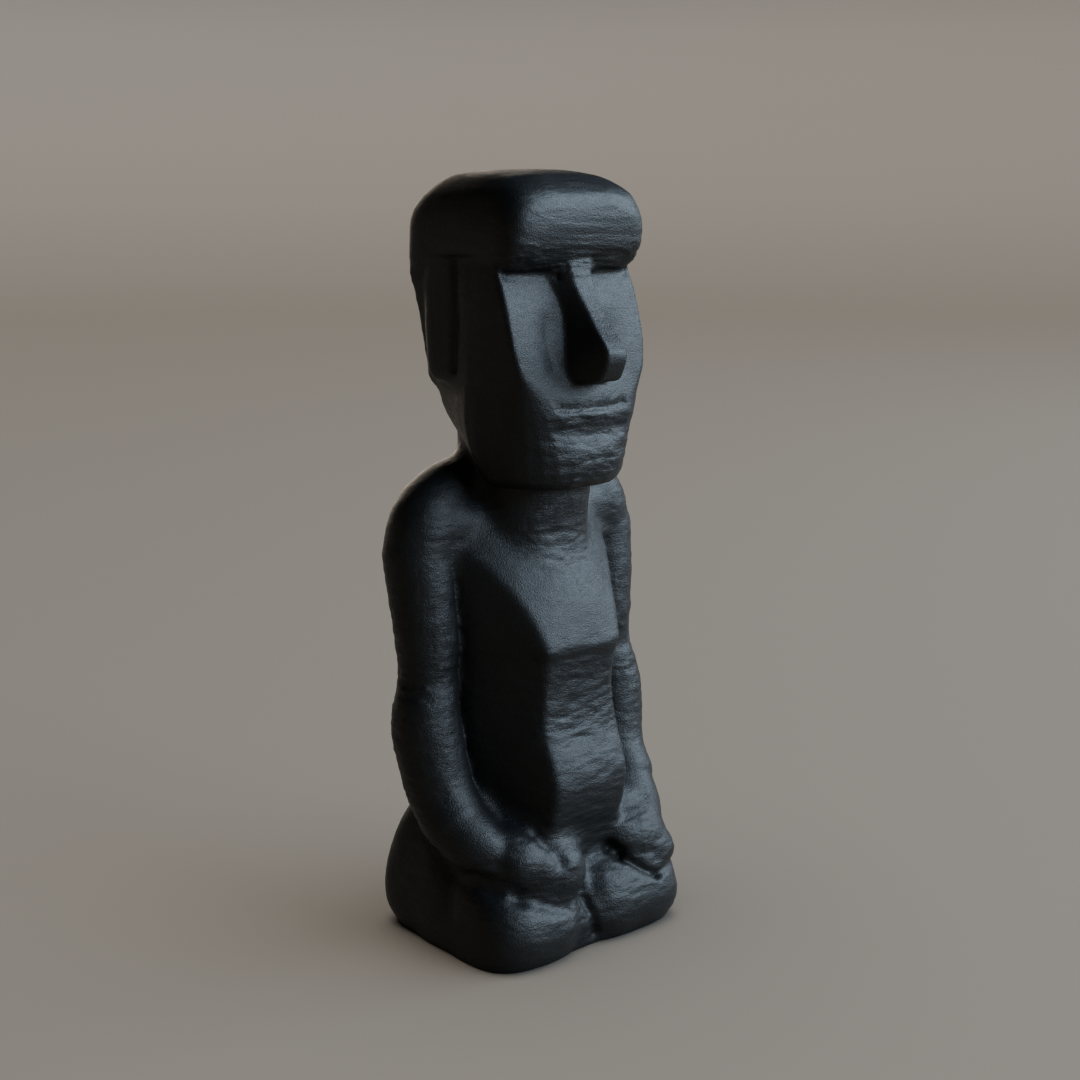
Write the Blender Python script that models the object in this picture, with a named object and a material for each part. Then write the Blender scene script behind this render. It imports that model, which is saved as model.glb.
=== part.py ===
"""A kneeling moai figure, 120 mm tall, printed in black plastic in one piece.

The figure faces -Y, its left side is +X, and it stands on its flat underside at Z = 0,
with the origin under the middle of its footprint. Each part of the body is a closed mass
of its own: a loft through named levels, a limb of balls and cones, or a flattened ball.
The masses overlap, and a voxel Remesh fuses them into one skin. The body's masses are
fused first, swollen, fused again and shrunk back, which fills their creases softly. The
head and the arms join afterwards, so their creases stay hard. Strokes along named lines
then carve the mouth, the hands and the knees, and Decimate leaves the faces that the
shape needs. The underside is cut flat last of all, so it stays a true plane.
"""
from collections import namedtuple
from math import copysign, cos, exp, pi, sin, tau

import bmesh
import bpy
from mathutils import Matrix, Vector
from mathutils.bvhtree import BVHTree
from mathutils.geometry import intersect_point_line

MM = 0.001                    # every size below is in millimetres
HEIGHT = 120.0

# Skin
BODY_VOXEL = 0.6              # grid that fuses the body
FUSE_VOXEL = 0.5              # grid that fuses the body with the head and the arms
FILLET = 1.2                  # how far the body is swollen and shrunk, to fill its creases
BODY_PASSES = 4               # smoothing of the body's own skin
EDGE_PASSES = 3               # smoothing that rounds all the edges
TRIANGLES = 9400              # what the whole shape needs

# Levels above the ground
CHEST_EDGE = 48.0             # lower edge of the chest plate
CHIN = 73.0
MOUTH = 85.2
BROW_EDGE = 104.8             # lower edge of the brow

RING_POINTS = 64
QUARTERS = (0, 0.25, 0.5, 0.75, 1)
CORNER = (0.25, 0.5, 0.75, 1)
BACK_BOW = 1.6                # how far the back's edges fall away

Level = namedtuple("Level", "z half front back power")
Slab = namedtuple("Slab", "z front edge edge_y side side_y corner back soft")
Joint = namedtuple("Joint", "x y z radius")
Stroke = namedtuple("Stroke", "width depth points")


# ---------------------------------------------------------------- mesh helpers

def add_loft(bm, rings):
    """Skin a stack of closed rings, lowest first, and cap both ends."""
    rows = [[bm.verts.new(Vector(point) * MM) for point in ring] for ring in rings]
    count = len(rows[0])
    for low, high in zip(rows, rows[1:]):
        for i in range(count):
            j = (i + 1) % count
            bm.faces.new((low[i], low[j], high[j], high[i]))
    bm.faces.new(reversed(rows[0]))
    bm.faces.new(rows[-1])


def level_ring(level, centre=0.0):
    """A rounded rectangle: a superellipse between the front and the back."""
    middle = (level.front + level.back) / 2
    depth = (level.back - level.front) / 2
    ring = []
    for i in range(RING_POINTS):
        angle = tau * i / RING_POINTS
        x, y = (copysign(abs(v) ** (2 / level.power), v) for v in (cos(angle), sin(angle)))
        ring.append((centre + level.half * x, middle + depth * y, level.z))
    return ring


def slab_ring(slab):
    """A faceted outline. Its front corners are rounded over the length `soft`."""
    flat, fall = slab.edge - slab.soft, slab.edge_y - slab.front
    corner, side = Vector((slab.edge, slab.edge_y)), Vector((slab.side, slab.side_y))
    half = [Vector((flat * t, slab.front + fall * (flat * t / slab.edge) ** 2)) for t in QUARTERS]
    start, end = half[-1], corner + (side - corner).normalized() * slab.soft
    half += [start * (1 - t) ** 2 + corner * 2 * t * (1 - t) + end * t * t for t in CORNER]
    half.append(side)
    half += [Vector((slab.corner * t, slab.back - BACK_BOW * t * t)) for t in reversed(QUARTERS)]
    return [(x, y, slab.z) for x, y in half] + [(-x, y, slab.z) for x, y in half[-2:0:-1]]


def glide(levels, steps=3):
    """Levels between the given ones, on a smooth curve through them (Catmull-Rom)."""
    kind, out = type(levels[0]), []
    for i in range(len(levels) - 1):
        quad = [levels[max(i - 1, 0)], levels[i], levels[i + 1], levels[min(i + 2, len(levels) - 1)]]
        for k in range(steps):
            t = k / steps
            out.append(kind(*(
                (2 * b + (c - a) * t + (2 * a - 5 * b + 4 * c - d) * t ** 2
                 + (3 * b - a - 3 * c + d) * t ** 3) / 2
                for a, b, c, d in zip(*quad))))
    return out + [levels[-1]]


def add_ball(bm, centre, radii, turn=(0, 0, 0)):
    """A flattened ball, turned about X, Y and Z by degrees."""
    place = Matrix.Translation(Vector(centre) * MM)
    for axis, degrees in zip("XYZ", turn):
        place = place @ Matrix.Rotation(degrees * pi / 180, 4, axis)
    place = place @ Matrix.Diagonal((*radii, 1)) @ Matrix.Scale(MM, 4)
    bmesh.ops.create_icosphere(bm, subdivisions=4, radius=1.0, matrix=place)


def add_limb(bm, joints, side=1):
    """Balls and cones on a smooth curve through the joints. Side -1 mirrors it."""
    chain = [(Vector((side * j.x, j.y, j.z)), j.radius) for j in glide(joints, 2)]
    for centre, radius in chain:
        add_ball(bm, centre, (radius,) * 3)
    for (start, thick), (end, thin) in zip(chain, chain[1:]):
        along = end - start
        place = Matrix.Translation((start + end) / 2 * MM)
        place = place @ along.to_track_quat("Z", "Y").to_matrix().to_4x4()
        bmesh.ops.create_cone(bm, cap_ends=True, segments=32, radius1=thick * MM,
                              radius2=thin * MM, depth=along.length * MM, matrix=place)


# ---------------------------------------------------------------- the masses

def seat(bm):
    """The hips and the heels under them, low and rounded, behind the forearms."""
    add_loft(bm, [level_ring(l) for l in glide([
        Level(-3.0, 16.4, -8.0, 13.0, 4.4),
        Level(0.0, 18.4, -8.0, 14.8, 5.0),
        Level(3.5, 19.9, -8.0, 16.2, 5.2),
        Level(8.0, 20.0, -7.0, 16.4, 5.2),
        Level(12.0, 19.4, -5.0, 16.0, 4.8),
        Level(16.0, 18.2, -3.0, 15.2, 4.4),
        Level(20.0, 16.4, -1.0, 13.8, 3.8),
        Level(24.0, 13.3, 1.0, 12.0, 3.2)])])


def thighs(bm):
    """The folded legs in front of the hips, up to the lap."""
    add_loft(bm, [level_ring(l) for l in glide([
        Level(-3.0, 17.2, -13.4, 8.0, 4.8),
        Level(0.0, 19.2, -15.4, 9.0, 5.2),
        Level(3.0, 20.2, -16.4, 9.0, 5.2),
        Level(5.5, 20.3, -16.6, 9.0, 5.0),
        Level(8.5, 18.8, -14.4, 9.0, 4.0),
        Level(11.5, 16.8, -12.2, 8.0, 3.6),
        Level(14.5, 14.0, -10.4, 6.0, 3.4)])])


def knees(bm):
    """Two rounded knees side by side. The left one is the wider and the squarer."""
    knee = glide([
        Level(-3.0, 8.4, -13.8, 0.0, 3.0),
        Level(0.0, 9.6, -16.2, 0.0, 3.2),
        Level(2.0, 10.1, -17.4, 0.0, 3.4),
        Level(4.4, 10.3, -18.0, 0.0, 3.4),
        Level(6.6, 10.2, -17.8, 0.0, 3.3),
        Level(9.0, 9.8, -16.9, 0.0, 3.1),
        Level(11.4, 8.8, -15.0, 0.0, 2.9),
        Level(13.5, 6.8, -11.8, 0.0, 2.7)])
    for centre, widen, blunt in ((-10.6, 0.94, 2.8), (9.3, 1.06, 3.4)):
        add_loft(bm, [level_ring(l._replace(half=l.half * widen, power=min(l.power, blunt)),
                                 centre) for l in knee])


def torso(bm):
    """A faceted trunk: belly, chest plate tilted up, plain back."""
    belly = [
        Slab(8.0, -10.4, 7.2, -10.4, 15.0, 1.0, 10.0, 11.0, 0.5),
        Slab(17.0, -12.6, 7.4, -12.4, 15.0, 2.6, 11.0, 12.0, 0.5),
        Slab(21.5, -14.6, 7.5, -14.3, 15.0, 3.0, 11.0, 12.0, 0.5),
        Slab(26.0, -15.6, 7.5, -15.3, 15.1, 3.0, 11.5, 11.8, 0.5),
        Slab(30.0, -14.9, 7.6, -14.6, 15.2, 3.0, 11.5, 11.4, 0.5),
        Slab(34.5, -13.1, 7.7, -12.8, 15.2, 3.0, 11.5, 11.0, 0.5),
        Slab(39.0, -12.4, 7.2, -12.1, 15.3, 2.8, 11.5, 10.8, 0.5),
        Slab(43.5, -12.6, 7.1, -12.3, 15.5, 2.2, 11.5, 10.8, 0.5),
        Slab(47.2, -13.2, 7.3, -12.9, 15.8, 1.8, 12.0, 11.2, 0.5)]
    chest = [
        Slab(CHEST_EDGE, -13.8, 7.6, -13.5, 15.8, 1.8, 12.0, 11.2, 0.5),
        Slab(54.0, -11.9, 9.2, -10.5, 16.4, 1.6, 12.5, 11.6, 0.5),
        Slab(60.5, -9.0, 12.4, -5.3, 17.4, 3.0, 13.0, 11.9, 0.5),
        Slab(65.0, -6.2, 16.0, 0.2, 18.0, 4.2, 13.0, 12.0, 0.5),
        Slab(69.0, -3.9, 15.4, 0.9, 16.6, 5.0, 11.6, 11.6, 1.5),
        Slab(72.4, -1.6, 13.2, 2.4, 14.4, 5.4, 10.4, 11.4, 2.0),
        Slab(75.6, 1.6, 9.6, 4.2, 10.8, 6.0, 8.6, 11.0, 2.0)]
    add_loft(bm, [slab_ring(s) for s in glide(belly) + glide(chest)])


def shoulders(bm):
    """Round shoulders that slope up to the neck, and the muscle between shoulder and chest."""
    for side in (-1, 1):
        add_limb(bm, [Joint(7.0, 6.4, 72.0, 5.0), Joint(13.2, 5.0, 70.6, 5.2),
                      Joint(17.2, 4.1, 67.6, 5.6), Joint(19.1, 4.0, 62.6, 5.3)], side)
        add_limb(bm, [Joint(13.0, 2.2, 67.2, 4.2), Joint(17.6, 3.8, 66.6, 5.0)], side)


def arms(bm):
    """Upper arms, a narrow elbow, and forearms down to the wrists. The left is further out."""
    for side, out in ((-1, 0.0), (1, 0.4)):
        add_limb(bm, [Joint(19.1 + out, 4.0, 62.6, 5.3), Joint(18.8 + out, 3.1, 55.0, 5.1),
                      Joint(18.4 + out, 2.6, 48.0, 4.85), Joint(18.5 + out, 2.4, 43.4, 4.6),
                      Joint(19.4 + out, 1.9, 36.4, 5.4), Joint(19.0 + out, 0.9, 30.6, 5.4),
                      Joint(18.4 + out, -0.6, 25.2, 5.15), Joint(18.1 + out, -3.2, 21.6, 5.0)], side)


def right_hand(bm):
    """The forearm sweeps inwards over its thigh and ends in a fist at the knees' groove."""
    add_limb(bm, [Joint(-18.1, -3.2, 21.6, 4.8), Joint(-16.9, -6.0, 18.9, 4.8),
                  Joint(-14.6, -8.3, 17.1, 4.5), Joint(-12.4, -10.0, 16.0, 4.5)])
    add_ball(bm, (-11.6, -11.2, 15.4), (4.8, 4.3, 4.6), (-20, 14, 0))
    add_ball(bm, (-8.6, -12.2, 14.2), (5.0, 4.3, 4.9), (-20, 10, 0))
    add_ball(bm, (-5.6, -12.9, 13.5), (5.0, 4.3, 5.2), (-18, 8, 0))


def left_hand(bm):
    """Points outwards and down over its thigh."""
    add_limb(bm, [Joint(18.4, -3.0, 21.4, 4.8), Joint(17.0, -6.8, 16.8, 4.8),
                  Joint(14.6, -9.6, 15.2, 4.6)])
    add_ball(bm, (13.2, -6.8, 17.8), (6.0, 5.0, 4.6))
    add_ball(bm, (12.4, -11.4, 14.0), (6.8, 4.2, 4.6), (-24, 12, 0))
    add_ball(bm, (15.2, -12.0, 11.4), (5.4, 4.2, 4.2), (-18, 20, 0))
    add_ball(bm, (12.4, -13.2, 10.0), (3.0, 3.0, 3.0))


def neck(bm):
    """A short thick neck that widens a little where it meets the chest."""
    add_loft(bm, [level_ring(l) for l in glide([
        Level(58.0, 10.4, -9.0, 10.6, 2.5),
        Level(61.5, 10.0, -8.6, 10.8, 2.5),
        Level(65.0, 9.6, -8.0, 10.8, 2.5),
        Level(72.0, 9.5, -8.9, 10.8, 2.6),
        Level(80.0, 9.6, -9.6, 10.4, 2.8),
        Level(88.0, 9.6, -9.0, 10.0, 2.8)])])


def head(bm):
    """Jaw to crown: a rounded jaw, flat cheeks leaning forward, a straight heavy brow."""
    face = [
        Slab(CHIN, -13.0, 8.6, -11.8, 10.2, -4.0, 6.0, -1.0, 4.8),
        Slab(74.0, -14.2, 9.8, -12.8, 11.8, -3.4, 7.0, 2.0, 6.0),
        Slab(75.4, -14.8, 10.3, -13.3, 12.4, -2.6, 7.4, 3.4, 6.4),
        Slab(77.4, -15.1, 10.7, -13.6, 12.9, -1.8, 7.8, 5.4, 6.6),
        Slab(79.3, -15.1, 11.1, -13.7, 13.2, -1.2, 8.4, 7.4, 6.6),
        Slab(81.4, -14.8, 11.5, -13.6, 13.5, -1.0, 9.0, 9.0, 6.2),
        Slab(84.0, -15.0, 11.9, -13.7, 13.8, -1.0, 9.6, 10.4, 5.2),
        Slab(86.6, -14.5, 12.0, -13.5, 14.0, -1.4, 10.2, 10.9, 3.6),
        Slab(88.6, -14.0, 12.3, -13.2, 14.1, -2.0, 11.4, 11.6, 2.0),
        Slab(90.4, -13.5, 12.8, -12.9, 14.2, -2.4, 11.6, 11.8, 1.0),
        Slab(93.5, -12.7, 13.4, -12.3, 14.2, -2.6, 12.0, 12.2, 0.6),
        Slab(97.0, -11.8, 13.6, -11.4, 14.1, -2.6, 12.3, 12.6, 0.5),
        Slab(101.5, -10.4, 13.6, -10.1, 14.0, -2.6, 12.8, 13.3, 0.5),
        Slab(BROW_EDGE, -9.1, 13.5, -8.8, 13.8, -2.6, 13.1, 14.3, 0.5),
        Slab(107.0, -8.6, 13.4, -8.4, 13.6, -2.6, 12.9, 14.3, 0.5)]
    brow = [
        Level(BROW_EDGE - 0.2, 13.2, -9.2, 14.2, 9.0),
        Level(105.6, 13.4, -10.3, 14.2, 9.0),
        Level(107.2, 13.7, -11.6, 14.2, 9.0),
        Level(108.8, 13.9, -12.6, 14.0, 8.5),
        Level(110.6, 14.0, -13.0, 14.0, 8.0),
        Level(112.6, 13.9, -13.2, 14.0, 7.5),
        Level(114.8, 13.5, -13.0, 13.6, 6.0),
        Level(116.9, 12.7, -12.0, 12.0, 5.0),
        Level(118.8, 10.8, -9.2, 10.0, 4.0),
        Level(119.6, 8.8, -7.2, 8.4, 3.4),
        Level(HEIGHT, 6.2, -4.8, 6.2, 2.8),
        Level(HEIGHT + 0.2, 2.6, -1.4, 3.2, 2.2)]
    add_loft(bm, [slab_ring(s) for s in glide(face)])
    add_loft(bm, [level_ring(l) for l in glide(brow)])


def nose(bm):
    """A long wedge with a narrow ridge, widest at its wings and where it meets the brow."""
    Wedge = namedtuple("Wedge", "z ridge ridge_half root_half")
    add_loft(bm, [[(-w.ridge_half, w.ridge, w.z), (w.ridge_half, w.ridge, w.z),
                   (w.root_half, -8.0, w.z), (-w.root_half, -8.0, w.z)] for w in glide([
        Wedge(89.0, -15.0, 2.8, 5.6),
        Wedge(89.4, -17.8, 2.2, 6.2),
        Wedge(90.2, -18.9, 2.0, 6.2),
        Wedge(92.6, -20.0, 2.0, 5.5),
        Wedge(94.4, -19.6, 2.0, 4.8),
        Wedge(97.2, -17.0, 1.7, 4.2),
        Wedge(99.8, -14.9, 1.5, 4.4),
        Wedge(102.4, -13.2, 1.8, 5.2),
        Wedge(104.6, -12.2, 1.9, 5.8),
        Wedge(107.5, -11.6, 2.1, 6.4)])])


def lips(bm):
    """A thin lower lip. The upper one is the plane of the face above the mouth's slit."""
    add_limb(bm, [Joint(0.2 + 6.8 * t, -14.0 + 0.8 * t * t, MOUTH - 1.1, 1.2 - 0.6 * t * t)
                  for t in (-1, -0.5, 0, 0.5, 1)])


def ears(bm):
    """Long flat ears that lie against the back half of the head."""
    ear = [
        Level(88.6, 0.9, 1.8, 7.2, 3.0),
        Level(90.4, 1.4, 0.8, 8.4, 3.6),
        Level(98.0, 1.6, 0.0, 9.0, 3.6),
        Level(106.0, 1.6, 0.4, 9.0, 3.6),
        Level(110.0, 1.0, 1.8, 8.0, 3.0)]
    for side in (-1, 1):
        add_loft(bm, [level_ring(l, side * 12.1) for l in glide(ear)])


BODY = (seat, thighs, knees, torso, shoulders, right_hand, left_hand, neck)
HEAD_AND_ARMS = (arms, head, nose, lips, ears)

STROKES = (
    # the mouth's slit, and the hollow under the lower lip
    Stroke(0.6, 0.7, [(-6.6, -14.0, MOUTH + 0.2), (-3, -14.7, MOUTH), (3, -14.8, MOUTH),
                      (7.0, -14.0, MOUTH + 0.2)]),
    Stroke(1.6, 0.4, [(-5.6, -14.6, MOUTH - 3.6), (0, -15.0, MOUTH - 4), (6.4, -14.4, MOUTH - 3.6)]),
    # shallow hollows of the cheeks beside the nose
    Stroke(1.5, 0.55, [(-5.8, -11.9, 97.8), (-6.6, -12.6, 94.6), (-6.0, -13.3, 91.4)]),
    Stroke(1.5, 0.55, [(5.8, -11.9, 97.8), (6.6, -12.6, 94.6), (6.0, -13.3, 91.4)]),
    # the furrow in front of each long ear
    Stroke(0.7, 0.5, [(-13.2, 1.6, 90.6), (-13.5, 0.7, 98.0), (-13.7, 1.0, 108.0)]),
    Stroke(0.7, 0.5, [(13.2, 1.6, 90.6), (13.5, 0.7, 98.0), (13.7, 1.0, 108.0)]),
    # the corner under the brow, deepest beside the nose
    Stroke(0.8, 0.5, [(-12.5, -9.4, BROW_EDGE), (-7, -9.8, BROW_EDGE), (-3.6, -10.6, BROW_EDGE)]),
    Stroke(0.8, 0.5, [(12.5, -9.4, BROW_EDGE), (7, -9.8, BROW_EDGE), (3.6, -10.6, BROW_EDGE)]),
    # right hand: the bend of the wrist, the gap under the hand, the thumb's hollow
    Stroke(1.4, 0.5, [(-13.6, -8.4, 21.0), (-15.0, -11.0, 19.4), (-16.6, -12.0, 16.6)]),
    Stroke(1.3, 0.5, [(-19.6, -8.6, 13.4), (-17.0, -11.0, 12.0), (-14.4, -13.4, 10.8)]),
    Stroke(1.2, 0.8, [(-14.4, -13.4, 10.8), (-12.2, -15.0, 10.0), (-9.4, -16.4, 9.0),
                      (-6.6, -17.2, 8.2)]),
    Stroke(1.1, 0.6, [(-9.4, -12.0, 19.0), (-8.4, -13.8, 17.2), (-7.4, -15.4, 15.4)]),
    # left hand: the hollow beside it, the gap under it and its outer edge
    Stroke(1.2, 1.5, [(5.7, -13.2, 14.0), (7.2, -14.2, 12.8)]),
    Stroke(0.9, 0.9, [(7.6, -14.4, 12.2), (10.7, -15.4, 9.4), (13.0, -15.8, 8.0)]),
    Stroke(0.9, 0.5, [(13.0, -15.8, 8.0), (15.8, -15.0, 8.9), (18.6, -13.6, 9.6)]),
    # the groove between the knees
    Stroke(0.9, 0.9, [(-0.6, -14.0, 13.0), (-1.4, -15.4, 11.0), (-1.5, -16.4, 8.6),
                      (-1.2, -17.0, 6.4), (-0.6, -17.0, 4.0), (0.0, -16.4, 1.6)]),
)


# ---------------------------------------------------------------- the statue

def black_plastic():
    material = bpy.data.materials.new("black_plastic")
    material.use_nodes = True
    shader = material.node_tree.nodes["Principled BSDF"]
    shader.inputs["Base Color"].default_value = (0.022, 0.024, 0.027, 1)
    shader.inputs["Roughness"].default_value = 0.5
    shader.inputs["Metallic"].default_value = 0.0
    return material


def poured(masses, skins=()):
    """One mesh that holds the masses and the skins, all facing outwards."""
    bm = bmesh.new()
    for mass in masses:
        mass(bm)
    for skin in skins:
        bm.from_mesh(skin)
    bmesh.ops.recalc_face_normals(bm, faces=bm.faces)
    mesh = bpy.data.meshes.new("masses")
    bm.to_mesh(mesh)
    bm.free()
    return mesh


def worked(mesh, steps):
    """The mesh after a row of modifiers: wrap by a voxel, swell by a length, ease, thin."""
    lump = bpy.data.objects.new("lump", mesh)
    bpy.context.collection.objects.link(lump)
    for step, amount in steps:
        if step == "wrap":
            fuse = lump.modifiers.new(step, "REMESH")
            fuse.mode, fuse.voxel_size = "VOXEL", amount * MM
        elif step == "swell":
            grow = lump.modifiers.new(step, "DISPLACE")
            grow.strength, grow.mid_level = amount * MM, 0.0
        elif step == "ease":
            soften = lump.modifiers.new(step, "SMOOTH")
            soften.factor, soften.iterations = 0.5, amount
        else:
            lump.modifiers.new(step, "DECIMATE").ratio = amount
    graph = bpy.context.evaluated_depsgraph_get()
    made = bpy.data.meshes.new_from_object(lump.evaluated_get(graph))
    bpy.data.objects.remove(lump)
    return made


def carve(mesh):
    """Press each stroke into the skin. The push fades away sideways like a bell curve."""
    bm = bmesh.new()
    bm.from_mesh(mesh)
    tree = BVHTree.FromBMesh(bm)
    push = [0.0] * len(bm.verts)
    for stroke in STROKES:
        line = [tree.find_nearest(Vector(point) * MM)[0] / MM for point in stroke.points]
        middle = sum(line, Vector()) / len(line)
        reach = max((point - middle).length for point in line) + 3 * stroke.width
        for index, vert in enumerate(bm.verts):
            here = vert.co / MM
            if (here - middle).length > reach:
                continue
            away = min(distance(here, start, end) for start, end in zip(line, line[1:]))
            push[index] += stroke.depth * exp(-(away / stroke.width) ** 2)
    bm.normal_update()
    moves = [vert.normal * depth * MM for vert, depth in zip(bm.verts, push)]
    for vert, move in zip(bm.verts, moves):
        vert.co -= move
    bm.to_mesh(mesh)
    bm.free()


def distance(point, start, end):
    """How far a point lies from the line between two others."""
    foot, share = intersect_point_line(point, start, end)
    if share < 0:
        foot = start
    elif share > 1:
        foot = end
    return (point - foot).length


def fused_skin():
    """The body with soft creases, then the head and arms, then the carving."""
    body = worked(poured(BODY), (("wrap", BODY_VOXEL), ("swell", FILLET), ("wrap", BODY_VOXEL),
                                 ("swell", -FILLET), ("wrap", BODY_VOXEL), ("ease", BODY_PASSES)))
    skin = worked(poured(HEAD_AND_ARMS, [body]), (("wrap", FUSE_VOXEL), ("ease", EDGE_PASSES)))
    carve(skin)
    triangles = sum(len(face.vertices) - 2 for face in skin.polygons)
    return worked(skin, (("thin", TRIANGLES / triangles),))


def cut_to_stand(mesh):
    """Cut the underside flat, then centre the statue and bring it to its height."""
    bm = bmesh.new()
    bm.from_mesh(mesh)
    cut = bmesh.ops.bisect_plane(bm, geom=bm.verts[:] + bm.edges[:] + bm.faces[:], dist=0.02 * MM,
                                 plane_co=(0, 0, 0), plane_no=(0, 0, -1), clear_outer=True)
    rim = [e for e in cut["geom_cut"] if isinstance(e, bmesh.types.BMEdge)]
    for edge in rim:
        for vert in edge.verts:
            vert.co.z = 0.0
    bmesh.ops.contextual_create(bm, geom=rim)
    xs, ys, zs = ([v.co[i] for v in bm.verts] for i in range(3))
    middle = Vector(((min(xs) + max(xs)) / 2, (min(ys) + max(ys)) / 2, 0))
    bmesh.ops.translate(bm, vec=-middle, verts=bm.verts)
    bmesh.ops.scale(bm, vec=(HEIGHT * MM / max(zs),) * 3, verts=bm.verts)
    bm.to_mesh(mesh)
    bm.free()


def build_statue():
    mesh = fused_skin()
    cut_to_stand(mesh)
    mesh.name = "moai_statue"
    mesh.materials.append(black_plastic())
    statue = bpy.data.objects.new("moai_statue", mesh)
    bpy.context.collection.objects.link(statue)
    mesh.shade_smooth()
    return statue


for old in list(bpy.data.objects):
    bpy.data.objects.remove(old)
build_statue()
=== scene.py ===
# %% [markdown]
# # A printed moai figurine
# This lesson builds a small kneeling moai, printed in one piece in black plastic. It stands
# 120 mm tall on a desk. The statue made below is centred on that solid's box and scaled to its
# height.

# %% Load the plain solid and measure it
from collections import namedtuple
from math import copysign, cos, pi, radians, sin, tau

import bmesh
import bpy
import numpy as np
from mathutils import Matrix, Vector
from mathutils.bvhtree import BVHTree


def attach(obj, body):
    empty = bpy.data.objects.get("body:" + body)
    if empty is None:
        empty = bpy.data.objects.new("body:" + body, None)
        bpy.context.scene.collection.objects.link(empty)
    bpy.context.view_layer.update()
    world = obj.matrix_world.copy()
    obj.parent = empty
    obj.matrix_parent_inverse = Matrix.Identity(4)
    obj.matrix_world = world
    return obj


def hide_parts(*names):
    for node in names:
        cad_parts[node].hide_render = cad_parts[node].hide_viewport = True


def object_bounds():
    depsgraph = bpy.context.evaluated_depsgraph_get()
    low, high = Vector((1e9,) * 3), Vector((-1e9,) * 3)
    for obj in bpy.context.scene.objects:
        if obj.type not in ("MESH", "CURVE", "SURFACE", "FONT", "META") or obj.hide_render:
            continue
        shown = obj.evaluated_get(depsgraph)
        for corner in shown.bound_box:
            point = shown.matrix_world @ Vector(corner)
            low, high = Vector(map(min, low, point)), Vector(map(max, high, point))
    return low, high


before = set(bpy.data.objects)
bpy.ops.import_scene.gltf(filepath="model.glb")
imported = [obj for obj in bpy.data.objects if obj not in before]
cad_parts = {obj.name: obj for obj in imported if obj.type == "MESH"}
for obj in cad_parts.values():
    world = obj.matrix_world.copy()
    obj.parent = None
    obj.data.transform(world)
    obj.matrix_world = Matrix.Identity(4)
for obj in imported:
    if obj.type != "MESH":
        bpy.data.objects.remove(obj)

MM = 0.001                                          # the statue's sizes are in millimetres
cad_box = [list(map(float, corner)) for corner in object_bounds()]
cad_low, cad_high = (Vector(corner) for corner in cad_box)
print("solid's box in mm:", [round(v / MM, 1) for v in (cad_high - cad_low)])

# %% [markdown]
# ## The camera
# The statue is seen from its right front, a little from above. A camera this near makes the
# head look large and the base small, so its distance matters as much as its direction. The
# camera looks level along `forward`, then tips down by `TIP`. That way only two angles have
# to be named. Its place is named the same way: how far in front, how far across, how high.

# %% Camera
SIDE, TIP = radians(42), radians(11)                # round to the figure's right, and downwards
AWAY, ACROSS, EYE_HEIGHT = 0.2675, 0.0006, 0.115    # metres
forward = Vector((sin(SIDE), cos(SIDE), 0))
rightward = Vector((cos(SIDE), -sin(SIDE), 0))
look = forward * cos(TIP) - Vector((0, 0, sin(TIP)))

lens = bpy.data.cameras.new("camera")
lens.lens, lens.sensor_width, lens.clip_start = 57.9, 36.0, 0.01
camera = bpy.data.objects.new("camera", lens)
camera.location = -AWAY * forward + ACROSS * rightward + Vector((0, 0, EYE_HEIGHT))
camera.rotation_euler = look.to_track_quat("-Z", "Y").to_euler()
bpy.context.collection.objects.link(camera)
bpy.context.scene.camera = camera
print("camera stands", round(camera.location.length, 3), "m from the statue's foot")

# %% [markdown]
# ## Modelling by masses
# A sculptor starts with lumps of clay and blends them later. The same works here. Each part
# of the body is a closed shape of its own, and the shapes may overlap as they like, because a
# voxel remesh fuses them afterwards. Three kinds of lump are enough: a *loft* skins a stack of
# outlines, a *ball* may be flattened and turned, and a *limb* is a chain of balls and cones.
#
# A `Level` is a rounded rectangle at one height. Its power says how square it is: 2 is an
# ellipse, 8 is nearly a box. A `Slab` has flat facets that meet in real corners, as on the
# chest and the cheeks. Its outline runs from the middle of the front to the front corner
# (`edge`), on to the widest point (`side`) and round to the back (`corner`). Its `soft` says
# over how many millimetres the front corner is rounded.
#
# `glide` lays a smooth curve through the named levels. Where the surface has to break, as at
# the lower edge of the chest, two stacks are made smooth one by one and then joined.

# %% Lofts
clay = bmesh.new()
Level = namedtuple("Level", "z half front back power")
Slab = namedtuple("Slab", "z front edge edge_y side side_y corner back soft")
RING_POINTS = 96
QUARTERS = [k / 4 for k in range(5)]
FIFTHS = (0.2, 0.4, 0.6, 0.8, 1)
BACK_BOW = 1.6                                      # how far a slab's back bulges in the middle
BLUNT, BESIDE = 0.06, 0.3                           # cut of its side corner, points beside that


def add_loft(rings):
    """Skin a stack of rings, lowest first, and close both ends."""
    rows = [[clay.verts.new(Vector(point) * MM) for point in ring] for ring in rings]
    count = len(rows[0])
    for low, high in zip(rows, rows[1:]):
        for i in range(count):
            j = (i + 1) % count
            clay.faces.new((low[i], low[j], high[j], high[i]))
    clay.faces.new(reversed(rows[0]))
    clay.faces.new(rows[-1])


def level_ring(level, centre=0.0):
    """A level's outline: a superellipse, shifted sideways by `centre`."""
    middle = (level.front + level.back) / 2
    depth = (level.back - level.front) / 2
    ring = []
    for i in range(RING_POINTS):
        angle = tau * i / RING_POINTS
        x, y = (copysign(abs(v) ** (2 / level.power), v) for v in (cos(angle), sin(angle)))
        ring.append((centre + level.half * x, middle + depth * y, level.z))
    return ring


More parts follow.
